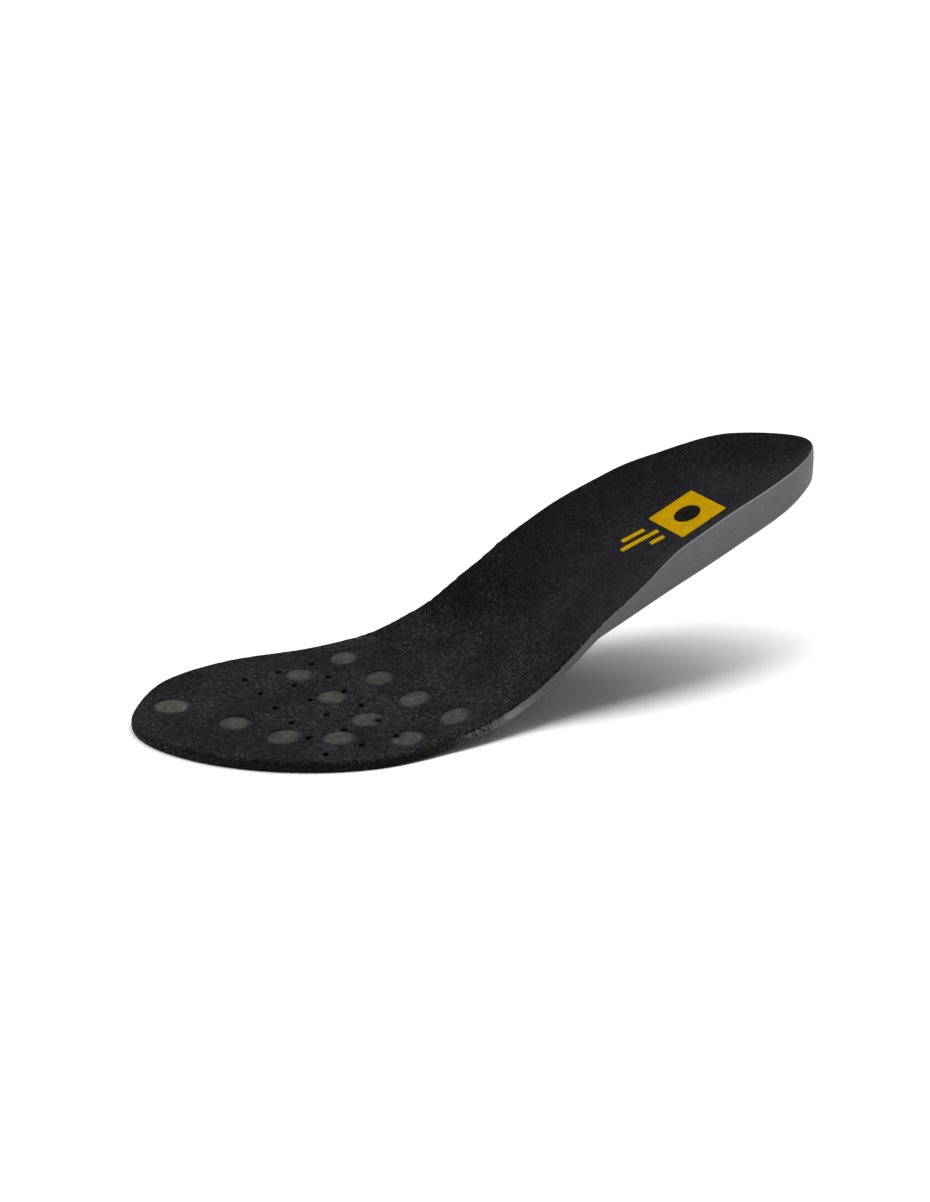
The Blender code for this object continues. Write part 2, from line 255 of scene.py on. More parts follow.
def inside(loop, points):
    """True for each point that a closed loop goes round."""
    result = np.zeros(len(points), bool)
    x, y = points.T
    for (x0, y0), (x1, y1) in zip(loop, np.roll(loop, -1, axis=0)):
        if y0 != y1:
            crosses = (y0 > y) != (y1 > y)
            result ^= crosses & (x < (x1 - x0) * (y - y0) / (y1 - y0) + x0)
    return result


def smoothstep(x, low, high):
    """0 below low, 1 above high and a smooth rise between them."""
    x = np.clip((x - low) / (high - low), 0, 1)
    return x * x * (3 - 2 * x)


def top_height(k, e, d):
    """Height of the cover's surface, at plan distance d from the outline."""
    lateral, medial = side_lines(k)
    share = smoothstep(e - (lateral + medial) / 2, -SIDE_BLEND, SIDE_BLEND)
    rise = (1 - share) * curve(LATERAL_RISE, k, MM) + share * curve(MEDIAL_RISE, k, MM)
    reach = (1 - share) * curve(LATERAL_REACH, k, MM) + share * curve(MEDIAL_REACH, k, MM)
    return SHEET_T + rise * (1 - np.clip(d / reach, 0, 1)) ** 2


def under_height(k):
    """Height of the underside: the sheet's own, then the heel block's flat face below it."""
    x, z, angle = profile(k)
    x0, z0, _ = profile(KINK_K)
    above = (z - z0) * cos(HEEL_PITCH) - (x - x0) * sin(HEEL_PITCH)
    return np.where(k > KINK_K, -above / np.cos(angle - HEEL_PITCH), 0.0)


def drawn_in(k, e):
    """Plan position on the underside, drawn in from the rim round the heel block."""
    inset = DRAFT * smoothstep(k, DRAFT_START, DRAFT_FULL)
    k_mid = np.minimum(k, HEEL_CENTRE)
    lateral, medial = side_lines(k_mid)
    centre, half = (lateral + medial) / 2, (medial - lateral) / 2
    shrink = 1 - inset / np.maximum(half, MM)
    return k_mid + (k - k_mid) * shrink, centre + (e - centre) * shrink


def round_over(d, radius):
    """How far a rounded edge of that radius lies below the face at distance d from it."""
    missing = np.clip(radius - d, 0, radius)
    return radius - np.sqrt(np.maximum(radius ** 2 - missing ** 2, 0))


# ---------------------------------------------------------------- noise for the shapes
RNG = np.random.default_rng(20)
CELLS = 32                        # along each side of the lattice, which repeats
LATTICE = RNG.uniform(-1, 1, (CELLS, CELLS, CELLS))
LATTICE_START = 100.7             # keeps the cell numbers positive over the whole insole


def noise(points, size, shift=0.0):
    """Smooth noise in -1..1 with features of about that size; points are rows of 2 or 3."""
    flat = np.zeros((len(points), 3))
    flat[:, :points.shape[1]] = points
    p = flat / size + LATTICE_START + shift
    cell = np.floor(p).astype(int)
    f = p - cell
    f = f * f * (3 - 2 * f)
    total = np.zeros(len(points))
    for corner in itertools.product((0, 1), repeat=3):
        weight = np.prod(np.where(np.array(corner) == 1, f, 1 - f), axis=1)
        i, j, m = ((cell + corner) % CELLS).T
        total += weight * LATTICE[i, j, m]
    return total


# ---------------------------------------------------------------- meshes on the plan
class Plan:
    """A flat triangle mesh inside a loop and outside round holes.

    It is filled at a spacing of about step. Closer rows of points lie along the loop at insets,
    round the holes at hole_insets (in mm), and on rings, which are further loops.
    """
    ROW_SPACING = 0.866           # between rows of a triangular grid, for points 1 apart
    JITTER = 0.16                 # of a step
    GRID_GAP = 0.55               # of a step, between the innermost row and the grid
    HOLE_GAP = 0.5                # mm, between the outermost row round a hole and the grid
    FREE_GAP = 0.08 * MM          # the least distance from an edge to a point that isn't on it
    MERGED = 1e-5                 # mm, between points that become one
    SLIVER = 1e-12                # m2, twice the area of a triangle that is left out
    HOLE_SLACK = 0.002 * MM       # how far inside a hole a triangle's middle may lie

    def __init__(self, loop, insets, step, holes=(), hole_insets=(0.12, 0.3, 0.6, 1.0),
                 rings=()):
        fixed, edges, free = [], [], list(rings)

        def add_loop(points):
            start, count = len(fixed), len(points)
            fixed.extend(points)
            edges.extend((start + i, start + (i + 1) % count) for i in range(count))

        add_loop(loop)
        run = np.roll(loop, -1, axis=0) - np.roll(loop, 1, axis=0)
        inward = np.stack([-run[:, 1], run[:, 0]], axis=1)
        inward /= np.linalg.norm(inward, axis=1)[:, None]
        for depth in insets:
            free.append(loop + inward * depth)
        for hole in holes:
            add_loop(hole.loop(0, 0))
            for depth in hole_insets:
                free.append(hole.loop(depth * MM, depth))
        free = np.vstack(free)
        grid = self.grid_points(loop, step)
        near = nearest_on(loop, grid)[0]
        clear = inside(loop, grid) & (near > max(insets) + self.GRID_GAP * step)
        for hole in holes:
            clear &= hole.gap(grid) > (hole_insets[-1] + self.HOLE_GAP) * MM
        keep = inside(loop, free) & (nearest_on(loop, free)[0] > self.FREE_GAP)
        for hole in holes:
            keep &= hole.gap(free) > self.FREE_GAP
        points = np.vstack([np.array(fixed), free[keep], grid[clear]])
        found = delaunay_2d_cdt([Vector(p / MM) for p in points], edges, [], 0, self.MERGED)
        points = np.array([tuple(v) for v in found[0]]) * MM
        tris = np.array(found[2])
        a, b, c = (points[tris[:, i]] for i in range(3))
        twice = ((b - a)[:, 0] * (c - a)[:, 1] - (b - a)[:, 1] * (c - a)[:, 0])
        tris[twice < 0] = tris[twice < 0][:, ::-1]
        middle = (a + b + c) / 3
        good = inside(loop, middle) & (np.abs(twice) > self.SLIVER)
        for hole in holes:
            good &= hole.gap(middle) > -self.HOLE_SLACK
        tris = tris[good]
        used, tris = np.unique(tris, return_inverse=True)
        self.points, self.tris = points[used], tris.reshape(-1, 3)
        self.k, self.e = self.points.T
        self.find_rim()
        self.d, self.from_edge = nearest_on(LOOP, self.points)

    def grid_points(self, loop, step):
        """A slightly irregular triangular grid over the loop's box."""
        low, high = loop.min(axis=0), loop.max(axis=0)
        rows = np.arange(low[1], high[1], step * self.ROW_SPACING)
        cols = np.arange(low[0], high[0], step)
        k, e = np.meshgrid(cols, rows)
        k = k + (np.arange(len(rows)) % 2)[:, None] * step / 2
        grid = np.stack([k.ravel(), e.ravel()], axis=1)
        return grid + RNG.uniform(-self.JITTER, self.JITTER, grid.shape) * step

    def find_rim(self):
        """Directed edges with no triangle on their right, and the outward normal at their ends."""
        pairs = np.concatenate([self.tris[:, [0, 1]], self.tris[:, [1, 2]], self.tris[:, [2, 0]]])
        size = len(self.points)
        codes = pairs[:, 0] * size + pairs[:, 1]
        self.rim_edges = pairs[~np.isin(codes, pairs[:, 1] * size + pairs[:, 0])]
        normal = np.zeros((size, 2))
        run = self.points[self.rim_edges[:, 1]] - self.points[self.rim_edges[:, 0]]
        outward = np.stack([run[:, 1], -run[:, 0]], axis=1)
        for end in (0, 1):
            np.add.at(normal, self.rim_edges[:, end], outward)
        self.rim = np.unique(self.rim_edges)
        self.outward = normal[self.rim]
        self.outward /= np.maximum(np.linalg.norm(self.outward, axis=1), 1e-12)[:, None]


class Oval:
    """An ellipse on the plan: a disc's window, a vent or a round print."""

    def __init__(self, centre, along, across=None, turn=0.0):
        self.centre, self.turn = np.array(centre), turn
        self.size = np.array([along, across or along])

    def loop(self, grow=0.0, start=0.0, step=0.5 * MM):
        """Points round the ellipse grown by an amount, the first at the angle start."""
        count = max(20, int(tau * self.size.max() / step))
        angle = np.linspace(0, tau, count, endpoint=False) + start
        local = np.stack([np.cos(angle), np.sin(angle)], axis=1) * (self.size + grow)
        c, s = cos(self.turn), sin(self.turn)
        return self.centre + local @ np.array([[c, s], [-s, c]])

    def gap(self, points):
        """Distance outside the ellipse, negative inside it."""
        c, s = cos(self.turn), sin(self.turn)
        local = (points - self.centre) @ np.array([[c, -s], [s, c]])
        scaled = np.maximum(np.hypot(*(local / self.size).T), 1e-6)
        return np.hypot(*local.T) * (1 - 1 / scaled)


SEAM_MARGIN = 0.3 * MM            # points of the outline nearer to the seam than this are left out


def cut_loop(k_seam, front):
    """The part of the outline in front of a seam, or behind it, closed by a straight line."""
    ahead, behind = LOOP[:, 0] < k_seam - SEAM_MARGIN, LOOP[:, 0] > k_seam + SEAM_MARGIN
    kept = ahead if front else behind
    first = np.flatnonzero(kept & ~np.roll(kept, 1))[0]
    run = np.roll(LOOP, -first, axis=0)[:kept.sum()]
    lateral, medial = side_lines(k_seam)
    start, stop = (lateral, medial) if front else (medial, lateral)
    # An anticlockwise front part ends on the little-toe side, and its seam runs to the big-toe one.
    e = np.linspace(start, stop, int((medial - lateral) / EDGE_STEP))
    return np.vstack([run, np.stack([np.full_like(e, k_seam), e], axis=1)])


SHARP_ANGLE = radians(55)


def add_object(name, verts, faces, paint, rest, inset, down):
    """A mesh object. Each point carries its plan position and its distance in from the edge, in mm,
    and how far down the wall it is: 0 on the upper face, 1 on the lower."""
    mesh = bpy.data.meshes.new(name)
    mesh.from_pydata(verts.tolist(), [], faces)
    mesh.validate()
    for label, kind, field, values in (("plan", "FLOAT_VECTOR", "vector", rest / MM),
                                       ("inset", "FLOAT", "value", inset / MM),
                                       ("down", "FLOAT", "value", down)):
        attribute = mesh.attributes.new(label, kind, "POINT")
        attribute.data.foreach_set(field, np.ascontiguousarray(values, np.float32).ravel())
    mesh.shade_smooth()
    mesh.set_sharp_from_angle(angle=SHARP_ANGLE)
    mesh.materials.append(paint)
    obj = bpy.data.objects.new(name, mesh)
    bpy.context.scene.collection.objects.link(obj)
    return obj


def solid(name, plan, top, bottom, rows, paint):
    """Closed solid between two surfaces over a plan, each given as (k, e, h). rows are the rings of
    the wall between them, as (share of the way down, how far the wall stands out there)."""
    upper, lower = (np.stack(np.broadcast_arrays(*surface), axis=1) for surface in (top, bottom))
    layers = [upper]
    for share, out in rows:
        ring = upper[plan.rim] * (1 - share) + lower[plan.rim] * share
        ring[:, :2] += plan.outward * np.broadcast_to(out, len(plan.rim))[:, None]
        layers.append(ring)
    layers.append(lower)
    size, count = len(plan.points), len(plan.rim)
    slot_of = np.full(size, -1)
    slot_of[plan.rim] = np.arange(count)
    start = plan.rim_edges
    levels = [start] + [slot_of[start] + size + i * count for i in range(len(rows))]
    levels.append(start + size + len(rows) * count)
    faces = plan.tris.tolist()
    for above, below in zip(levels, levels[1:]):
        faces += np.stack([above[:, 0], below[:, 0], below[:, 1], above[:, 1]], axis=1).tolist()
    faces += (plan.tris[:, ::-1] + size + len(rows) * count).tolist()
    rest = np.vstack(layers)
    rim_edge = plan.d[plan.rim]
    inset = np.concatenate([plan.d] + [rim_edge] * len(rows) + [plan.d])
    down = np.concatenate([np.zeros(size)] + [np.full(count, share) for share, _ in rows]
                          + [np.ones(size)])
    return add_object(name, place(*rest.T), faces, paint, rest, inset, down)


# ---------------------------------------------------------------- materials
FLAT_NAP = (0.0085, 0.0084, 0.0097, 1)        # the cover's fibres lying flat
FLECK = (0.070, 0.068, 0.068, 1)
# painted shade in the foam's pores
PAINTED_PORE_SHADE = (0.004, 0.004, 0.004, 1)
# painted light: the top of the grey wall drawn paler, as if lit from above
PAINTED_LIGHT_UPPER_WALL = (0.134, 0.135, 0.145, 1)
# painted shade: the grey wall drawn darker towards its foot
PAINTED_SHADE_LOWER_WALL = (0.062, 0.063, 0.064, 1)
# painted highlight along the heel's lip, where its top edge catches the light
PAINTED_HIGHLIGHT_HEEL_LIP = (0.25, 0.25, 0.26, 1)
HEEL_BACK = (0.058, 0.058, 0.060, 1)
WAIST = (0.063, 0.068, 0.066, 1)
BEHIND_SEAM = (0.200, 0.198, 0.196, 1)
# painted shadow cast by the cover's ragged edge onto the grey wall
PAINTED_FRINGE_SHADOW = (0.006, 0.006, 0.0065, 1)
PALE_GRAIN = (0.18, 0.18, 0.178, 1)
FRAYED_FIBRES = (0.0135, 0.0133, 0.0145, 1)   # the cover's, over a disc's edge


class Paint:
    """A principled material and short ways to wire its nodes. Lengths in it are in mm, but for the
    distance of a bump, which is in m."""

    def __init__(self, name, **sockets):
        self.material = bpy.data.materials.new(name)
        self.material.use_nodes = True
        self.tree = self.material.node_tree
        self.shader = self.tree.nodes["Principled BSDF"]
        for label, value in sockets.items():
            self.put(self.shader.inputs[label.replace("_", " ")], value)
        self.plan = self.node("ShaderNodeAttribute", {"attribute_name": "plan"}).outputs["Vector"]
        self.inset, self.down = (
            self.node("ShaderNodeAttribute", {"attribute_name": label}).outputs["Fac"]
            for label in ("inset", "down"))

    def put(self, socket, value):
        if isinstance(value, bpy.types.NodeSocket):
            self.tree.links.new(value, socket)
        else:
            socket.default_value = value

    def node(self, kind, settings=(), **sockets):
        made = self.tree.nodes.new(kind)
        for label, value in dict(settings).items():
            setattr(made, label, value)
        for label, value in sockets.items():
            self.put(made.inputs[label.replace("_", " ")], value)
        return made

    def maths(self, operation, *values):
        made = self.node("ShaderNodeMath", {"operation": operation})
        for socket, value in zip(made.inputs, values):
            self.put(socket, value)
        return made.outputs[0]

    def scaled(self, vector, factors, turn=0.0):
        made = self.node("ShaderNodeMapping", Vector=vector, Scale=factors,
                         Rotation=(0, 0, turn))
        return made.outputs[0]

    def grain(self, vector, scale, detail=2.0, rough=0.5):
        made = self.node("ShaderNodeTexNoise", Vector=vector, Scale=scale, Detail=detail,
                         Roughness=rough)
        return made.outputs["Fac"]

    def span(self, value, low, high, to_low=0.0, to_high=1.0):
        made = self.node("ShaderNodeMapRange", {"interpolation_type": "SMOOTHSTEP"},
                         Value=value, From_Min=low, From_Max=high, To_Min=to_low, To_Max=to_high)
        return made.outputs["Result"]

    def mix(self, share, first, second):
        made = self.node("ShaderNodeMix", {"data_type": "RGBA"})
        for socket, value in zip((made.inputs[0], made.inputs[6], made.inputs[7]),
                                 (share, first, second)):
            self.put(socket, value)
        return made.outputs[2]

    def ramp(self, value, *stops):
        made = self.node("ShaderNodeValToRGB", Fac=value)
        band = made.color_ramp
        while len(band.elements) < len(stops):
            band.elements.new(0.5)
        for element, (position, colour) in zip(band.elements, stops):
            element.position, element.color = position, (*colour, 1)
        return made.outputs["Color"]

    def bump(self, height, distance, strength=1.0, under=None):
        made = self.node("ShaderNodeBump", Height=height, Distance=distance, Strength=strength)
        if under is not None:
            self.put(made.inputs["Normal"], under)
        return made.outputs["Normal"]

    def parts(self, vector):
        return self.node("ShaderNodeSeparateXYZ", Vector=vector).outputs

    def finish(self, colour, roughness, normal):
        for label, value in (("Base Color", colour), ("Roughness", roughness),
                             ("Normal", normal)):
            self.put(self.shader.inputs[label], value)
        return self.material


def nap(paint):
    """Brushed fibres in 0..1: short streaks that wander, and the clumps that they form."""
    drift = paint.grain(paint.plan, 0.11, 1.0)
    moved = paint.node("ShaderNodeVectorMath", {"operation": "SCALE"}, Scale=9.0)
    paint.put(moved.inputs[0], paint.node("ShaderNodeTexNoise", Vector=paint.plan,
                                          Scale=0.09).outputs["Color"])
    wander = paint.node("ShaderNodeVectorMath", {"operation": "ADD"})
    paint.put(wander.inputs[0], paint.plan)
    paint.put(wander.inputs[1], moved.outputs[0])
    streaks = paint.grain(paint.scaled(wander.outputs[0], (0.6, 1.5, 1.2)), 1.0, 3.0, 0.7)
    across = paint.grain(paint.scaled(wander.outputs[0], (1.5, 0.7, 1.2), 0.6), 0.9, 3.0, 0.7)
    fibres = paint.maths("ADD", paint.maths("MULTIPLY", streaks, 0.62),
                         paint.maths("MULTIPLY", across, 0.38))
    return fibres, drift


def microfibre():
    """The cover's black nap: mottled and flecked, calmer behind the ball."""
    paint = Paint("black_microfibre", Sheen_Weight=0.04, Sheen_Roughness=0.55,
                  Sheen_Tint=(0.88, 0.90, 1.0, 1), Specular_IOR_Level=0.06)
    fibres, drift = nap(paint)
    fine = paint.grain(paint.plan, 1.5, 2.0, 0.75)
    clumps = paint.grain(paint.plan, 0.55, 2.0, 0.6)
    tone = paint.maths("ADD", paint.maths("MULTIPLY", fibres, 0.50),
                       paint.maths("ADD", paint.maths("MULTIPLY", fine, 0.30),
                                   paint.maths("MULTIPLY", clumps, 0.20)))
    base = paint.ramp(tone, (0.43, (0.0010, 0.0010, 0.0014)), (0.49, (0.0058, 0.0057, 0.0066)),
                      (0.54, (0.0155, 0.0152, 0.0170)), (0.61, (0.0400, 0.0392, 0.0415)))
    patches = paint.grain(paint.plan, 0.045, 3.0, 0.6)
    shade = paint.span(patches, 0.38, 0.62, 0.68, 1.28)
    colour = paint.node("ShaderNodeMix", {"data_type": "RGBA", "blend_type": "MULTIPLY"})
    colour.inputs[0].default_value = 1.0
    paint.put(colour.inputs[6], base)
    paint.put(colour.inputs[7], paint.node("ShaderNodeCombineXYZ", X=shade, Y=shade,
                                           Z=shade).outputs[0])
    k, _, _ = paint.parts(paint.plan)
    calm = paint.mix(paint.span(k, 85.0, 130.0, 0.0, 0.50), colour.outputs[2], FLAT_NAP)
    flecks = paint.grain(paint.plan, 1.3, 1.0, 0.5)
    flecked = paint.mix(paint.span(flecks, 0.70, 0.78, 0.0, 0.35), calm, FLECK)
    normal = paint.bump(fibres, 0.00035, 0.7, paint.bump(fine, 0.00018, 0.6))
    rough = paint.span(drift, 0.3, 0.7, 0.86, 1.0)
    return paint.finish(flecked, rough, normal)


def open_foam():
    """Cut edge and underside of the dark foam: pores darkened with painted shade, with pale specks
    at toe and seam.
    """
    paint = Paint("dark_open_foam", Specular_IOR_Level=0.1)
    k, _, _ = paint.parts(paint.plan)
    cells = paint.node("ShaderNodeTexVoronoi", {"feature": "F1"}, Vector=paint.plan,
                       Scale=1.35).outputs["Distance"]
    pores = paint.span(cells, 0.08, 0.42)
    grains = paint.grain(paint.plan, 1.3, 3.0, 0.65)
    specks = paint.grain(paint.plan, 1.05, 2.0, 0.7)
    at_toe = paint.span(k, -46.0, -22.0, 1.0, 0.0)
    at_seam = paint.span(k, 30.0, 50.0)
    pale = paint.maths("MAXIMUM", paint.maths("MULTIPLY", at_toe, 0.8), at_seam)
    base = paint.ramp(grains, (0.38, (0.003, 0.003, 0.003)), (0.52, (0.0065, 0.0064, 0.0062)),
                      (0.64, (0.018, 0.017, 0.016)))
    olive = paint.ramp(specks, (0.42, (0.005, 0.005, 0.0045)), (0.54, (0.020, 0.0195, 0.0175)),
                       (0.66, (0.080, 0.077, 0.070)))
    rosy = paint.ramp(specks, (0.38, (0.014, 0.0130, 0.0133)), (0.47, (0.058, 0.0545, 0.0555)),
                      (0.58, (0.175, 0.168, 0.170)))
    speckled = paint.mix(paint.span(k, 40.0, 55.0), olive, rosy)
    dusty = paint.mix(paint.maths("MULTIPLY", pale, 0.85), base, speckled)
    # Painted shade in the pores.
    colour = paint.mix(paint.span(pores, 0.0, 0.5, 0.55, 0.0), dusty, PAINTED_PORE_SHADE)
    normal = paint.bump(pores, 0.00025, 0.7, paint.bump(grains, 0.0002, 0.5))
    return paint.finish(colour, 0.93, normal)


def moulded_foam():
    """Grey moulded foam: a fine closed skin, with painted light atop its wall and painted shade at
    its foot, a painted highlight on the heel's lip, darker at the waist and the back, dusty at the
    seam, and a ragged painted shadow under the cover's edge at the waist."""
    paint = Paint("grey_moulded_foam", Specular_IOR_Level=0.38, Sheen_Weight=0.06,
                  Sheen_Roughness=0.5)
    k, _, _ = paint.parts(paint.plan)
    cloud = paint.grain(paint.plan, 0.10, 3.0, 0.55)
    skin = paint.grain(paint.plan, 2.4, 2.0, 0.6)
    beads = paint.node("ShaderNodeTexVoronoi", {"feature": "SMOOTH_F1"}, Vector=paint.plan,
                       Scale=0.9, Smoothness=0.6).outputs["Distance"]
    body = paint.ramp(cloud, (0.38, (0.082, 0.083, 0.085)), (0.62, (0.116, 0.117, 0.119)))
    # Painted light near the top of the wall, then painted shade towards its foot.
    high = paint.mix(paint.span(paint.down, 0.02, 0.50, 0.80, 0.0), body, PAINTED_LIGHT_UPPER_WALL)
    low = paint.mix(paint.span(paint.down, 0.45, 1.0, 0.0, 0.60), high, PAINTED_SHADE_LOWER_WALL)
    at_heel = paint.span(k, 112.0, 132.0)
    # Painted highlight along the lip at the heel.
    lip = paint.maths("MULTIPLY", paint.span(paint.down, 0.0, 0.05, 0.8, 0.0), at_heel)
    lip_highlighted = paint.mix(lip, low, PAINTED_HIGHLIGHT_HEEL_LIP)
    back = paint.mix(paint.span(k, 190.0, 222.0, 0.0, 0.55), lip_highlighted, HEEL_BACK)
    waist = paint.mix(paint.span(k, 84.0, 180.0, 0.85, 0.0), back, WAIST)
    start = paint.mix(paint.span(k, 66.0, 86.0, 0.80, 0.0), waist, BEHIND_SEAM)
    dust = paint.maths("ADD", k, paint.maths("MULTIPLY", skin, 7.0))
    rosy = paint.ramp(skin, (0.40, (0.014, 0.0130, 0.0133)), (0.49, (0.060, 0.0565, 0.0575)),
                      (0.58, (0.175, 0.168, 0.170)))
    seam = paint.mix(paint.span(dust, 67.8, 70.2, 1.0, 0.0), start, rosy)
    # Painted shadow of the cover's ragged edge: dark wisps along the top of the wall at the waist.
    wisps = paint.maths("ADD", paint.down, paint.maths("MULTIPLY", skin, -0.9))
    at_waist = paint.span(k, 96.0, 122.0, 1.0, 0.0)
    fringe_shadow = paint.maths("MULTIPLY", paint.span(wisps, -0.31, -0.21, 0.9, 0.0), at_waist)
    fringe_shaded = paint.mix(fringe_shadow, seam, PAINTED_FRINGE_SHADOW)
    grainy = paint.mix(paint.span(skin, 0.46, 0.66, 0.0, 0.14), fringe_shaded, PALE_GRAIN)
    normal = paint.bump(skin, 0.00010, 0.5, paint.bump(beads, 0.00012, 0.35))
    rough = paint.span(cloud, 0.3, 0.7, 0.50, 0.66)
    return paint.finish(grainy, rough, normal)


WARM_DISCS = (4, 6, 7)            # a little redder than the rest
DISC_TONES = {1: 1.17, 4: 1.0, 7: 1.0}        # lighter than the others
OTHER_TONE = 0.90


def disc_foam(index, middle_k):
    """A disc's foam, grey with a tinge of olive. Its rim fades into the cover's dark fibres, most
    on the heel side of middle_k, the disc's middle in mm."""
    paint = Paint(f"grey_disc_{index:02d}", Specular_IOR_Level=0.12, Sheen_Weight=0.05,
                  Sheen_Roughness=0.5)
    shifted = paint.node("ShaderNodeVectorMath", {"operation": "ADD"})
    paint.put(shifted.inputs[0], paint.plan)
    shifted.inputs[1].default_value = (31.0 * index, 17.0 * index, 0)
    spot = shifted.outputs[0]
    streaks = paint.grain(paint.scaled(spot, (0.5, 1.6, 1.0), 0.4), 1.0, 3.0, 0.65)
    mottle = paint.grain(spot, 0.42, 2.0, 0.6)
    fuzz = paint.grain(spot, 1.5, 2.0, 0.7)
    tone = paint.maths("ADD", paint.maths("MULTIPLY", streaks, 0.55),
                       paint.maths("MULTIPLY", mottle, 0.45))
    warm = 0.93 if index in WARM_DISCS else 1.0
    pale = DISC_TONES.get(index, OTHER_TONE)
    base = paint.ramp(tone, *((at, (pale * grey, pale * grey * 0.985 * warm,
                                    pale * grey * 0.90 * warm))
                              for at, grey in ((0.38, 0.026), (0.50, 0.041), (0.62, 0.066))))
    k, _, _ = paint.parts(paint.plan)
    frayed = paint.span(k, middle_k + 1.0, middle_k + 7.0, 0.0, -0.8)
    ragged = paint.maths("ADD", paint.maths("ADD", paint.inset, frayed),
                         paint.maths("MULTIPLY", paint.maths("ADD", fuzz, streaks), 1.5))
    colour = paint.mix(paint.span(ragged, 1.6, 3.5, 1.0, 0.0), base, FRAYED_FIBRES)
    normal = paint.bump(streaks, 0.0002, 0.5, paint.bump(fuzz, 0.00012, 0.5))
    return paint.finish(colour, 0.84, normal)


def printed(name, dark, plain, worn):
    """Transfer print over the nap: the fibres press through it and wear it a little."""
    paint = Paint(name, Specular_IOR_Level=0.0)
    fibres, _ = nap(paint)
    cloud = paint.grain(paint.plan, 0.25, 2.0)
    fine = paint.grain(paint.plan, 2.2, 2.0, 0.7)
    base = paint.mix(paint.span(cloud, 0.3, 0.7), (*dark, 1), (*plain, 1))
    colour = paint.mix(paint.span(fine, 0.60, 0.74, 0.0, 0.35), base, (*worn, 1))
    normal = paint.bump(fibres, 0.00016, 0.5, paint.bump(fine, 0.00008, 0.5))
    return paint.finish(colour, paint.span(cloud, 0.3, 0.7, 0.55, 0.68), normal)


COVER_PAINT = microfibre()
FOAM_PAINT = open_foam()
CUSHION_PAINT = moulded_foam()
YELLOW = printed("yellow_print", (0.375, 0.212, 0.0010), (0.430, 0.248, 0.0022),
                 (0.27, 0.15, 0.002))
BLACK = printed("black_print", (0.007, 0.0068, 0.006), (0.012, 0.0115, 0.010),
                (0.035, 0.025, 0.008))

# ---------------------------------------------------------------- pieces
BLEND_START_K, BLEND_END_K = 38 * MM, 85 * MM
TOUCH = 0.02 * MM                 # clearance between laminated pieces
ON_OUTLINE = 1e-6                 # a point closer to the outline than this lies on it
WINDOW_GAP = 0.05 * MM            # between a disc and the edge of its window
DISC_RECESS = 0.30 * MM           # of a disc's face below the cover's surface, near its edge
DISC_CROWN = 0.16 * MM            # of its middle above that
PRINT_RISE, PRINT_SUNK = 0.13 * MM, 0.02 * MM      # a film's faces above and below that surface


def flexes(piece, nodes):
    """Bakes a piece's transform and hides the CAD parts it stands for. The ends of the ball joint
    are worked out, but nothing uses them.
    """
    at = [place(np.array(k), np.array(0.0), np.array(0.0)) for k in (BLEND_START_K, BLEND_END_K)]
    for point in at:
        point[2] = 0.0
    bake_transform(piece)
    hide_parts(*nodes)


def at_heel(k):
    """0 in front of the arch, rising to 1 along the heel block."""
    return smoothstep(k, 100 * MM, 140 * MM)


def fringe(k):
    """1 where the cover's cut edge is raw and fuzzy, behind the ball, less at the heel."""
    return smoothstep(k, 40 * MM, 58 * MM) * (1 - 0.85 * smoothstep(k, 108 * MM, 140 * MM))


def cover_depth(k, d):
    """Thickness of the cover: full inside, pressed thinner at its rim, most so at the heel."""
    pressed, full = 0.4 * MM, 3.2 * MM
    at_rim = curve([(35, 0.85), (58, 0.45), (100, 0.42), (140, 0.16)], k, MM)
    return at_rim + (COVER_T - at_rim) * smoothstep(d, pressed, full)


DISC_SHAPES = [(7.0, 6.1, -25), (5.8, 5.5, -25), (5.4, 5.5, 0), (5.6, 5.6, 0), (5.8, 5.5, -20),
               (5.6, 5.6, 0), (6.4, 5.6, 15), (6.6, 5.3, 15), (6.7, 5.4, 10), (6.3, 5.4, -10),
               (6.4, 5.4, -5), (6.4, 5.4, 0)]       # half sizes in mm and turn in degrees
DISC_OVALS = [Oval(turned(x * MM, y * MM), along * MM, across * MM, radians(turn))
              for (x, y), (along, across, turn) in zip(DISCS, DISC_SHAPES)]
VENTS = []
for row, number in itertools.product(range(VENT_ROWS), range(VENTS_IN_ROW)):
    u = (row - (VENT_ROWS - 1) / 2) * VENT_PITCH
    v = (number - (VENTS_IN_ROW - 1) / 2) * VENT_PITCH
    c, s = cos(VENT_TURN), sin(VENT_TURN)
    at = turned(VENT_CENTRE[0] + u * c - v * s, VENT_CENTRE[1] + u * s + v * c)
    VENTS.append(Oval(at, VENT_R))
WINDOWS = [Oval(o.centre, o.size[0] + WINDOW_GAP, o.size[1] + WINDOW_GAP, o.turn)
           for o in DISC_OVALS]
HOLES = WINDOWS + VENTS           # of the cover


def near_holes(points, holes):
    """Distance to the nearest hole's edge."""
    return np.min([hole.gap(points) for hole in holes], axis=0)


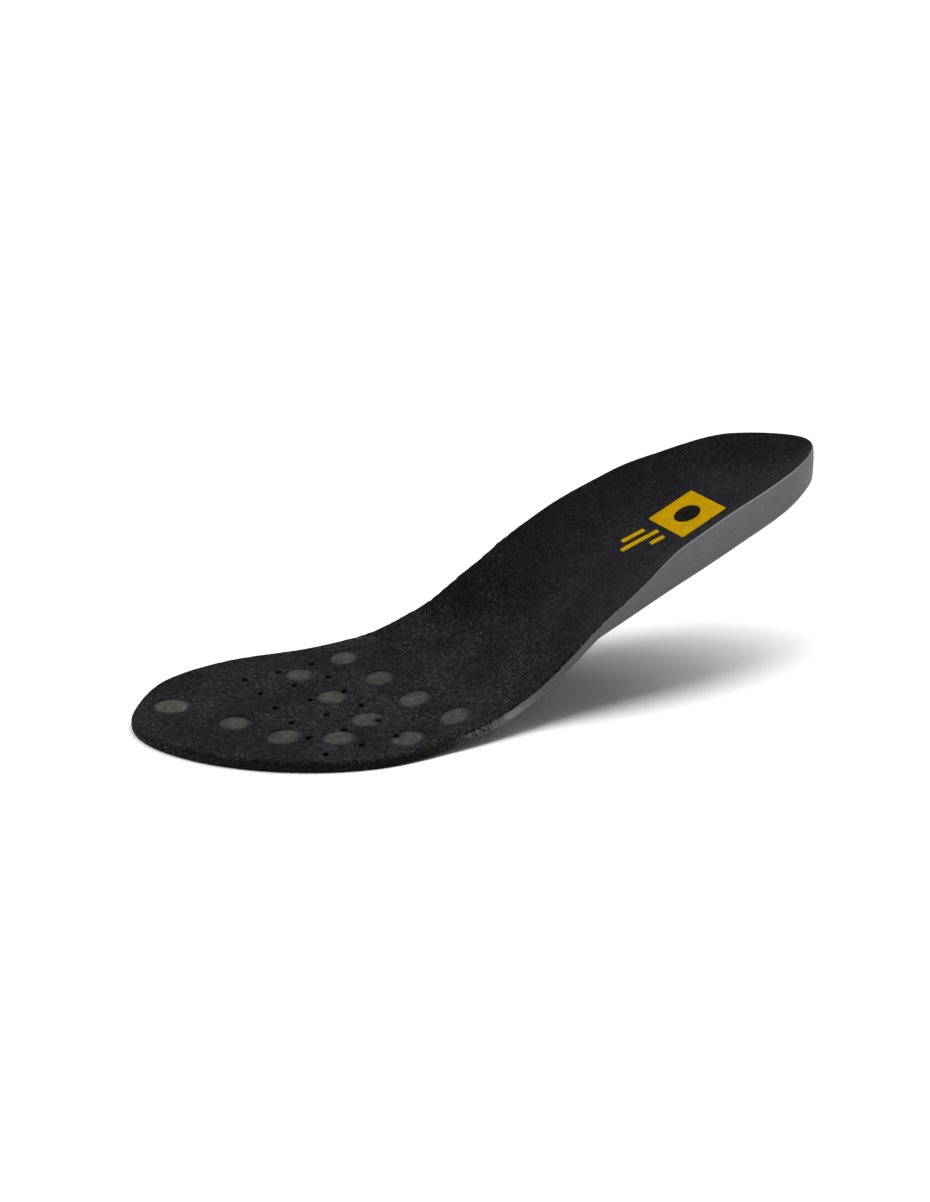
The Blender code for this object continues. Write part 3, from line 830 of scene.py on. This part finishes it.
def make_cover():
    """The sheet over the whole insole. Its cut edge is drawn back at the heel, and ragged and
    hanging behind the ball. It is soft at its rim and its holes, and a little puckered."""
    plan = Plan(LOOP, [i * MM for i in (0.15, 0.4, 0.8, 1.4, 2.2)], 1.15 * MM, HOLES)
    k, e, d, spot = plan.k, plan.e, plan.d, plan.points
    raw = fringe(k)
    heel = at_heel(k)
    drawn_back, run_out, least_depth = 0.25 * MM, 0.22 * MM, 0.04 * MM
    inset = drawn_back * heel - run_out * raw
    inset = (inset + raw * 0.30 * MM * noise(spot, 1.5 * MM)
             + raw * 0.18 * MM * noise(spot, 0.8 * MM) + 0.05 * MM * noise(spot, 2.6 * MM, 5))
    fade = 1 - smoothstep(d, 0, 2.5 * MM)
    shift = plan.from_edge * (inset * fade)[:, None]
    on_rim = d < ON_OUTLINE
    outward = np.zeros_like(spot)
    outward[plan.rim] = plan.outward
    shift[on_rim] = -outward[on_rim] * inset[on_rim, None]
    k2, e2 = (spot + shift).T
    top = top_height(k, e, d)
    hole = np.clip(near_holes(spot, HOLES), 0, None)
    edge_radius = curve([(30, 0.95), (58, 0.42), (100, 0.4), (140, 0.15)], k, MM)
    hole_edge = round_over(hole, 0.5 * MM) * 0.5
    dimple = 0.14 * MM * np.exp(-(hole / (1.6 * MM)) ** 2)
    puckers = 0.055 * MM * noise(spot, 2.4 * MM, 3) + 0.05 * MM * noise(spot, 1.2 * MM, 9)
    calm = 1 - 0.6 * smoothstep(k, 120 * MM, 145 * MM)
    upper = top - round_over(d, edge_radius) + puckers * calm - hole_edge - dimple
    depth = cover_depth(k, d)
    hang = raw * fade * 0.55 * MM * (0.25 + noise(spot, 1.3 * MM, 21))
    lower = np.minimum(top - depth, upper - least_depth) - np.where(on_rim, hang, 0)
    is_outer = on_rim[plan.rim]
    wisps = 0.07 * MM * noise(spot[plan.rim], 0.9 * MM, 31) * (0.4 + raw[plan.rim])
    bulge = 0.10 * MM * (1 - heel[plan.rim])
    rows = [(0.35, np.where(is_outer, bulge + wisps, 0)),
            (0.75, np.where(is_outer, bulge - wisps, 0))]
    piece = solid("cover", plan, (k2, e2, upper), (k2, e2, lower), rows, COVER_PAINT)
    flexes(piece, ["top_cover"])
    return piece


def make_forefoot():
    """The dark foam up to the seam, with a rough cut edge. The pocket under each window has a steep
    wall, with rings of points at its foot and its head. The vents go right through."""
    wall = 0.12 * MM
    rings = [window.loop(grow) for window in WINDOWS for grow in (0.0, wall)]
    plan = Plan(cut_loop(SEAM_K - TOUCH, True), [i * MM for i in (0.2, 0.5, 1.0, 1.8)],
                1.6 * MM, VENTS, hole_insets=(0.4,), rings=rings)
    k, e, d, spot = plan.k, plan.e, plan.d, plan.points
    top = top_height(k, e, d) - cover_depth(k, d) - TOUCH
    top = np.where(near_holes(spot, WINDOWS) < wall / 2, POCKET_FLOOR, top)
    ripple = 0.02 * MM * noise(spot, 3 * MM, 2)
    under = round_over(d, 0.35 * MM) + ripple * smoothstep(d, 0, MM)
    rim = plan.rim
    outer = d[rim] < ON_OUTLINE
    rows = []
    for number, share in enumerate((0.08, 0.22, 0.38, 0.54, 0.7, 0.86)):
        height = np.column_stack([spot[rim], np.full(len(rim), number * 0.6 * MM)])
        rough = 0.09 * MM * noise(height, 1.3 * MM, 11) + 0.10 * MM * noise(height, 0.7 * MM, 13)
        rows.append((share, np.where(outer, 0.22 * MM * sin(pi * share) + rough, 0)))
    piece = solid("forefoot_cushion", plan, (k, e, top), (k, e, np.maximum(under, 0)), rows,
                  FOAM_PAINT)
    flexes(piece, ["forefoot_foam"])
    return piece


def make_heel():
    """The grey foam behind the seam. At the heel its lip stands round the cover's edge, almost
    level with the nap, and its wall swells a little between the rim and the underside."""
    plan = Plan(cut_loop(SEAM_K + TOUCH, False),
                [i * MM for i in (0.15, 0.35, 0.6, 1.0, 1.6, 2.4, 3.4)], 1.7 * MM)
    k, e, d = plan.k, plan.e, plan.d
    heel = at_heel(k)
    top = top_height(k, e, d)
    lip_drop, lip_radius = 0.06 * MM, 0.38 * MM
    lip = smoothstep(d, 0.35 * MM, 0.75 * MM)
    proud = top - lip_drop - round_over(d, lip_radius)
    covered = top - cover_depth(k, d) - TOUCH
    upper = np.where(heel > 0, (proud * (1 - lip) + covered * lip) * heel + covered * (1 - heel),
                     covered)
    upper = np.minimum(upper, np.where(d > 0.7 * MM, covered, upper))
    k_in, e_in = drawn_in(k, e)
    back = smoothstep(k, 170 * MM, 215 * MM)
    fuller = 0.12 * heel + 0.10 * back
    k_in, e_in = k_in + (k - k_in) * fuller, e_in + (e - e_in) * fuller
    corner = 0.25 * MM + 0.15 * MM * heel + 0.35 * MM * back
    lower = under_height(k_in) + round_over(d, corner)
    rim = plan.rim
    outer = d[rim] < ON_OUTLINE
    tall = smoothstep(k[rim], 105 * MM, 150 * MM)
    rings, wall_mm = 16, 14
    rows = []
    for share in np.linspace(0.04, 0.96, rings):
        height = np.column_stack([plan.points[rim], np.full(len(rim), share * wall_mm * MM)])
        belly = tall * MM * (0.35 * sin(pi * share ** 0.8) + 0.25 + 0.35 * share)
        ripple = 0.03 * MM * noise(height, 6 * MM, 41) + 0.02 * MM * noise(height, 2 * MM, 43)
        rows.append((share, np.where(outer, belly + ripple, 0)))
    piece = solid("heel_cushion", plan, (k, e, upper), (k_in, e_in, lower), rows, CUSHION_PAINT)
    flexes(piece, ["heel_arch_cushion"])
    return piece


def make_disc(number, oval):
    """A cushion disc with a low crown, just below the nap, and with the vents that cross it."""
    vents = [vent for vent in VENTS if oval.gap(vent.centre[None])[0] < VENT_R + 0.2 * MM]
    plan = Plan(oval.loop(), [i * MM for i in (0.12, 0.3, 0.55, 0.9)], 0.6 * MM, vents,
                hole_insets=(0.15, 0.4))
    plan.d = np.clip(-oval.gap(plan.points), 0, None)
    spot = plan.points
    crown = DISC_CROWN * smoothstep(plan.d, 0, 4 * MM)
    upper = (SHEET_T - DISC_RECESS + crown - round_over(plan.d, 0.5 * MM) * 0.5
             + 0.03 * MM * noise(spot, 1.6 * MM, number) + 0.02 * MM * noise(spot, 0.8 * MM, 77))
    if vents:
        near = np.clip(near_holes(spot, vents), 0, None)
        upper -= 0.6 * round_over(near, 0.35 * MM)
        plan.d = np.minimum(plan.d, near)
    lower = np.full_like(upper, POCKET_FLOOR + TOUCH)
    name = f"soft_disc_{number:02d}"
    piece = solid(name, plan, (plan.k, plan.e, upper), (plan.k, plan.e, lower), [(0.5, 0.0)],
                  disc_foam(number, float(oval.centre[0] / MM)))
    flexes(piece, [f"cushion_disc_{number:02d}"])


FILM_STEP = 0.35 * MM             # spacing of the points round a print
PATCH_CORNER, BAR_CORNER = 0.5 * MM, 0.4 * MM
EMBLEM_GAP = 0.12 * MM            # between the emblem and the patch round it


def rounded_box(centre, size, turn, corner):
    """Plan loop of a rectangle with rounded corners."""
    points = []
    for quarter, (a, b) in enumerate(((1, 1), (-1, 1), (-1, -1), (1, -1))):
        middle = np.array([a * (size[0] / 2 - corner), b * (size[1] / 2 - corner)])
        swing = np.linspace(0, pi / 2, 7) + quarter * pi / 2
        points.extend(middle + corner * np.stack([np.cos(swing), np.sin(swing)], axis=1))
    points = evenly(np.array(points), FILM_STEP)
    x = centre[0] + points[:, 0] * cos(turn) - points[:, 1] * sin(turn)
    y = centre[1] + points[:, 0] * sin(turn) + points[:, 1] * cos(turn)
    return np.stack(turned(x, y), axis=1)


def make_print(name, node, loop, paint, holes=()):
    """A thin film of print that follows the cover."""
    waver = np.stack([noise(loop, 0.9 * MM, shift) for shift in (51, 53)], axis=1)
    loop = loop + 0.05 * MM * waver
    plan = Plan(loop, [0.1 * MM, 0.3 * MM], 0.9 * MM, holes, hole_insets=(0.1, 0.3))
    k, e, d = plan.k, plan.e, plan.d
    base = top_height(k, e, d)
    near = nearest_on(loop, plan.points)[0]
    if holes:
        near = np.minimum(near, np.clip(near_holes(plan.points, holes), 0, None))
    ripple = 0.02 * MM * noise(plan.points, 1.2 * MM)
    upper = base + PRINT_RISE - round_over(near, 0.08 * MM) + ripple
    piece = solid(name, plan, (k, e, upper), (k, e, base - PRINT_SUNK), [], paint)
    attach(piece, "rearfoot")
    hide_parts(node)


cover = make_cover()
forefoot = make_forefoot()
heel = make_heel()
for number, oval in enumerate(DISC_OVALS, 1):
    make_disc(number, oval)
emblem_centre = turned(*LABEL_CENTRE)
patch_loop = rounded_box(LABEL_CENTRE, LABEL_SIZE, LABEL_TURN, PATCH_CORNER)
make_print("print_patch", "label_patch", patch_loop, YELLOW,
           [Oval(emblem_centre, EMBLEM_R + EMBLEM_GAP)])
make_print("print_emblem", "label_emblem", Oval(emblem_centre, EMBLEM_R).loop(step=FILM_STEP),
           BLACK)
for number, (x, y, length) in enumerate(BARS, 1):
    bar = rounded_box((x * MM, y * MM), (length * MM, BAR_WIDTH), 0, BAR_CORNER)
    make_print(f"print_bar_{number}", f"label_bar_{number}", bar, YELLOW)

cut_area = sum(pi * hole.size.prod() for hole in HOLES)

# ---------------------------------------------------------------- floor, light
FLOOR_SIZE = 12.0
FLOOR_DROP = 0.1 * MM             # keeps the floor clear of the underside
FLOOR_GREY = 0.88
OVERHEAD = ((16, 1.05), (-2, 1.1), (-21, 1.05), (-40, 0.8))     # lean in degrees, strength
LIGHT_BREADTH = radians(24)
LIGHT_TURN = radians(15)          # of the line they lean along, from +X
SKY_AT_HORIZON, SKY_OVERHEAD = 0.19, 0.27


def make_floor():
    """A white floor, which isn't a piece of the object."""
    mesh = bpy.data.meshes.new("floor")
    half = FLOOR_SIZE / 2
    corners = [(-half, -half, 0), (half, -half, 0), (half, half, 0), (-half, half, 0)]
    mesh.from_pydata(corners, [], [(0, 1, 2, 3)])
    floor = bpy.data.objects.new("floor", mesh)
    floor.location.z = -FLOOR_DROP
    bpy.context.scene.collection.objects.link(floor)
    material = bpy.data.materials.new("white_floor")
    material.use_nodes = True
    shader = material.node_tree.nodes["Principled BSDF"]
    shader.inputs["Base Color"].default_value = (FLOOR_GREY, FLOOR_GREY, FLOOR_GREY, 1)
    shader.inputs["Roughness"].default_value = 1.0
    shader.inputs["Specular IOR Level"].default_value = 0.0
    mesh.materials.append(material)


def overhead_light(name, lean, strength):
    """A broad light far overhead, leaning towards the toe by an angle."""
    data = bpy.data.lights.new(name, "SUN")
    data.energy, data.angle = strength, LIGHT_BREADTH
    light = bpy.data.objects.new(name, data)
    level = sin(lean)
    aim = Vector((level * cos(LIGHT_TURN), level * sin(LIGHT_TURN), -cos(lean)))
    light.rotation_euler = aim.to_track_quat("-Z", "Y").to_euler()
    light.location = -aim
    bpy.context.scene.collection.objects.link(light)


def make_sky(horizon, zenith):
    """A white studio dome, brighter overhead; it is plain white behind the object."""
    world = bpy.data.worlds.new("studio")
    world.use_nodes = True
    tree = world.node_tree
    shader = tree.nodes["Background"]
    shader.inputs["Color"].default_value = (1, 1, 1, 1)
    up = tree.nodes.new("ShaderNodeSeparateXYZ")
    tree.links.new(tree.nodes.new("ShaderNodeTexCoord").outputs["Generated"], up.inputs[0])
    level = tree.nodes.new("ShaderNodeMapRange")
    tree.links.new(up.outputs["Z"], level.inputs["Value"])
    level.inputs["To Min"].default_value = horizon
    level.inputs["To Max"].default_value = zenith
    seen = tree.nodes.new("ShaderNodeMix")
    tree.links.new(tree.nodes.new("ShaderNodeLightPath").outputs["Is Camera Ray"], seen.inputs[0])
    tree.links.new(level.outputs[0], seen.inputs[2])
    seen.inputs[3].default_value = 1.0
    tree.links.new(seen.outputs[0], shader.inputs["Strength"])
    bpy.context.scene.world = world


make_floor()
make_sky(SKY_AT_HORIZON, SKY_OVERHEAD)
for number, (lean, strength) in enumerate(OVERHEAD, 1):
    overhead_light(f"overhead_{number}", radians(lean), strength)
bpy.context.scene.view_settings.view_transform = "Standard"
